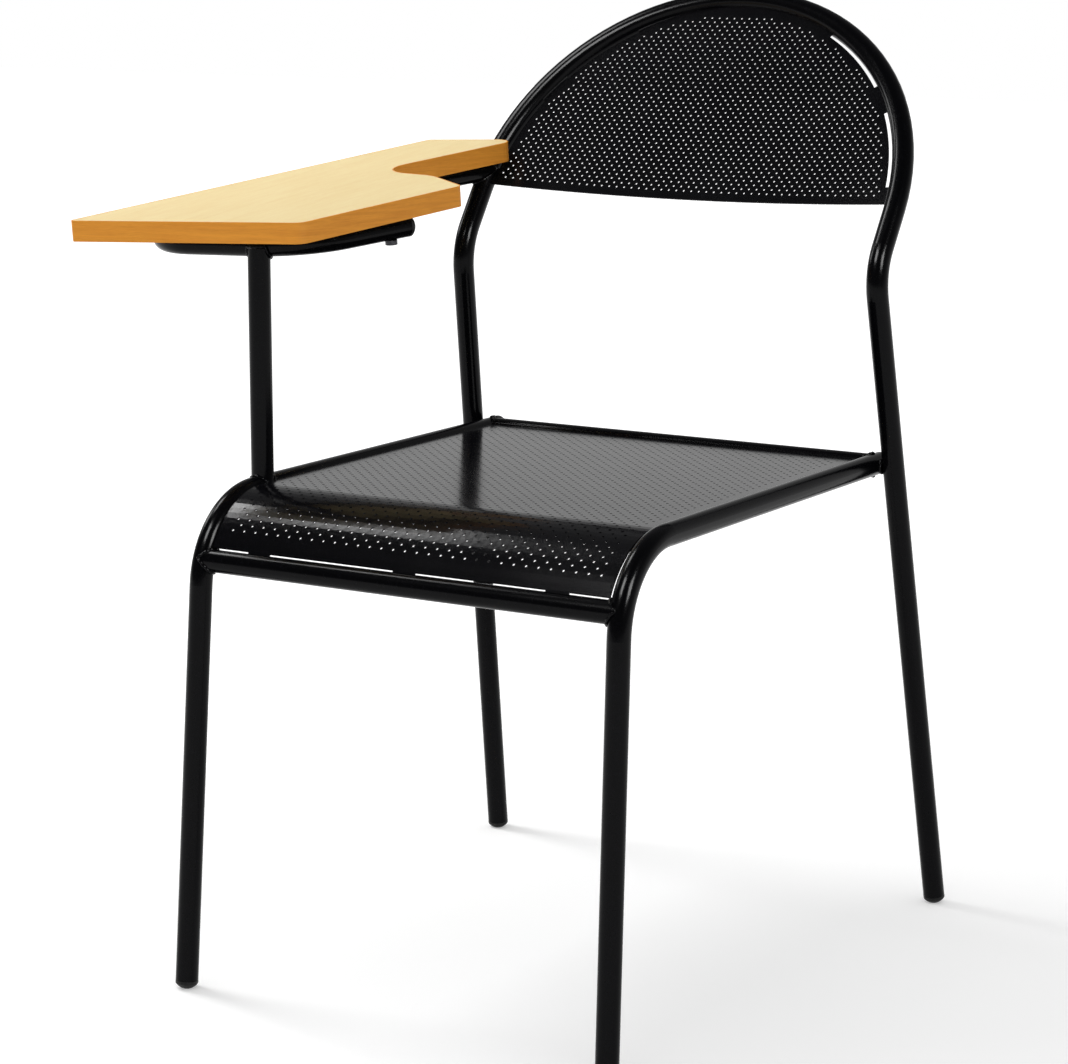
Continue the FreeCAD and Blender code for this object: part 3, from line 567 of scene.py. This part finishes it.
# %% Welds of the frame
CROSS_REACH = 0.46316
CROSS_DROP = 0.0514
REAR_CROSS_BACK = 0.002
TOUCH_RING = 0.0060
TOUCH_SECTION = 0.0017
for side in (-1, 1):
    inward = Vector((-side, 0, 0))
    front_end = Vector((side * RAIL_HALF, -CROSS_REACH, RAIL_HEIGHT - CROSS_DROP))
    bend_radial = front_end - Vector((side * RAIL_HALF, -BEND_START, BEND_HEIGHT))
    saddle_bead(front_end, inward, front_end, bend_radial.cross(inward))
    rear_end = Vector((side * RAIL_HALF, REAR_CROSS_BACK, RAIL_HEIGHT))
    saddle_bead(rear_end, inward, rear_end, along_rail)
    touch = Vector((side * (RAIL_HALF + TUBE_RADIUS + WELD_GAP / 2), 0.0, RAIL_HEIGHT))
    sideways = Matrix.Rotation(math.pi / 2, 4, "Y")
    add_bead(spun_ring(TOUCH_RING, TOUCH_SECTION), Matrix.Translation(touch) @ sideways)
weld_beads = object_from(weld_bm, "weld_beads", tube_paint)
weld_beads.data.shade_smooth()
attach(weld_beads, "root")
print("weld faces", len(weld_beads.data.polygons))

# %% [markdown]
# The camera stands where the photographer stood, to the sitter's left front and a little
# above the tablet, with a long lens. Placing it by eye takes many tries, so its place and
# turn were worked out from the straight tubes in the photo.

# %% Camera
CAMERA_PLACE = Vector((1.43875, -2.62266, 0.93065))
CAMERA_YAW = 0.5463
CAMERA_PITCH = 0.1930
FOCAL_PIXELS = 3197.0
PHOTO_WIDTH = 1068.0
camera_data = bpy.data.cameras.new("photo_camera")
camera_data.sensor_fit = "HORIZONTAL"
camera_data.lens = FOCAL_PIXELS / PHOTO_WIDTH * camera_data.sensor_width
camera = bpy.data.objects.new("photo_camera", camera_data)
camera.location = CAMERA_PLACE
camera.rotation_euler = (math.pi / 2 - CAMERA_PITCH, 0.0, CAMERA_YAW)
bpy.context.scene.collection.objects.link(camera)
bpy.context.scene.camera = camera
print("lens", round(camera_data.lens, 1), "mm")


# %% [markdown]
# The photo's background is plain white. Strong lamps could bleach a floor to white, but
# would bleach the chair too. Instead the floor glows only for rays that see it: straight
# from the camera, in reflections or through something clear. It stays a lit surface under
# its glow, and so keeps the chair's shadow. The glow grows with the distance from the chair.

# %% Rays that see the background
def maths(tree, operation, first, second):
    node = add_node(tree, "ShaderNodeMath", {0: first, 1: second}, operation=operation)
    return node.outputs["Value"]


def seen_rays(tree, names):
    """One where the ray comes from the camera or one of the other named kinds, else zero."""
    path = add_node(tree, "ShaderNodeLightPath")
    seen = path.outputs["Is Camera Ray"]
    for name in names:
        seen = maths(tree, "MAXIMUM", seen, path.outputs[name])
    return seen


# %% Floor
FLOOR_SIZE = 12.0
FLOOR_COLOUR = (0.80, 0.80, 0.80, 1.0)
NEAR, FAR = 0.5, 2.5
NEAR_GLOW, FAR_GLOW = 0.33, 0.70


def glowing_floor(name):
    material, tree = new_material(name)
    place = add_node(tree, "ShaderNodeTexCoord").outputs["Object"]
    reach = add_node(tree, "ShaderNodeVectorMath", {0: place}, operation="LENGTH").outputs["Value"]
    rise = to_range(tree, reach, NEAR_GLOW, FAR_GLOW, start=NEAR, end=FAR)
    seen = seen_rays(tree, ("Is Glossy Ray", "Is Transmission Ray"))
    lit = add_node(tree, "ShaderNodeBsdfDiffuse", {"Color": FLOOR_COLOUR})
    glow = add_node(tree, "ShaderNodeEmission", {"Strength": maths(tree, "MULTIPLY", rise, seen)})
    both = add_node(tree, "ShaderNodeAddShader", {0: lit.outputs["BSDF"], 1: glow.outputs["Emission"]})
    add_node(tree, "ShaderNodeOutputMaterial", {"Surface": both.outputs["Shader"]})
    return material


floor_bm = bmesh.new()
bmesh.ops.create_grid(floor_bm, x_segments=1, y_segments=1, size=FLOOR_SIZE)
floor = object_from(floor_bm, "floor", glowing_floor("pale_floor"))
floor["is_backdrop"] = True
print("floor", 2 * FLOOR_SIZE, "m wide")

# %% [markdown]
# The world is white where the camera sees it, and lights the chair at a plain level for all
# other rays. A plain white world would be simpler, but then the paint reflects white from
# all sides and looks grey. So the studio is darker overhead and in front of the chair: the
# white that the paint reflects fades upwards and forwards, which leaves the legs black.

# %% World
SOFT_LIGHT = 0.72
LOW_WHITE, HIGH_WHITE = 0.9, 0.22
FRONT_WHITE, REAR_WHITE = 0.15, 1.0
WHITE = (1.0, 1.0, 1.0, 1.0)


def studio_world(name):
    world = bpy.data.worlds.new(name)
    world.use_nodes = True
    tree = world.node_tree
    tree.nodes.clear()
    place = add_node(tree, "ShaderNodeTexCoord").outputs["Generated"]
    parts = add_node(tree, "ShaderNodeSeparateXYZ", {"Vector": place})
    upwards = to_range(tree, parts.outputs["Z"], LOW_WHITE, HIGH_WHITE, start=0.02, end=0.55)
    backwards = to_range(tree, parts.outputs["Y"], FRONT_WHITE, REAR_WHITE, start=-0.3, end=0.6)
    faded = maths(tree, "MULTIPLY", upwards, backwards)
    path = add_node(tree, "ShaderNodeLightPath")
    level = blend(tree, path.outputs["Is Glossy Ray"], SOFT_LIGHT, faded)
    strength = maths(tree, "MAXIMUM", level, seen_rays(tree, ("Is Transmission Ray",)))
    sky = add_node(tree, "ShaderNodeBackground", {"Color": WHITE, "Strength": strength})
    add_node(tree, "ShaderNodeOutputWorld", {"Surface": sky.outputs["Background"]})
    return world


bpy.context.scene.world = studio_world("studio")
print("world", bpy.context.scene.world.name, "soft light", SOFT_LIGHT)

# %% [markdown]
# Four lamps give the paint its highlights. The key hangs to the left over the chair and
# draws the bright band on the rolled seat edge. Two wide ones, in front and to the right,
# show only in reflections and catch the bends of the tubes. One on the left draws a line
# along the arch. Each row has a place, a size in metres, a power in watts, and whether the
# lamp also lights surfaces.

# %% Lamps
CHAIR_MIDDLE = Vector((0.0, -0.2, 0.45))
LAMPS = {
    "key": ((-1.50, -0.22, 2.2), 0.65, 20.0, True),
    "front": ((-0.44, -1.9, 2.3), 0.8, 70.0, False),
    "right": ((2.05, -1.1, 1.75), 0.8, 70.0, False),
    "left": ((-2.4, -0.1, 1.55), 0.6, 8.0, True),
}
for name, (place, size, power, lights_surfaces) in LAMPS.items():
    data = bpy.data.lights.new(name, "AREA")
    data.shape = "SQUARE"
    data.size = size
    data.energy = power
    lamp = bpy.data.objects.new(name, data)
    lamp.location = place
    lamp.rotation_euler = (CHAIR_MIDDLE - Vector(place)).to_track_quat("-Z", "Y").to_euler()
    lamp.visible_camera = False
    lamp.visible_diffuse = lights_surfaces
    bpy.context.scene.collection.objects.link(lamp)
print("lamps", *LAMPS)

# %% [markdown]
# The Standard view shows colours as they are written. The last step measures the dressed
# chair and prints its box.

# %% View settings and the size of the model
bpy.context.scene.view_settings.view_transform = "Standard"
visual_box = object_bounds()
show_box("visual box", visual_box)
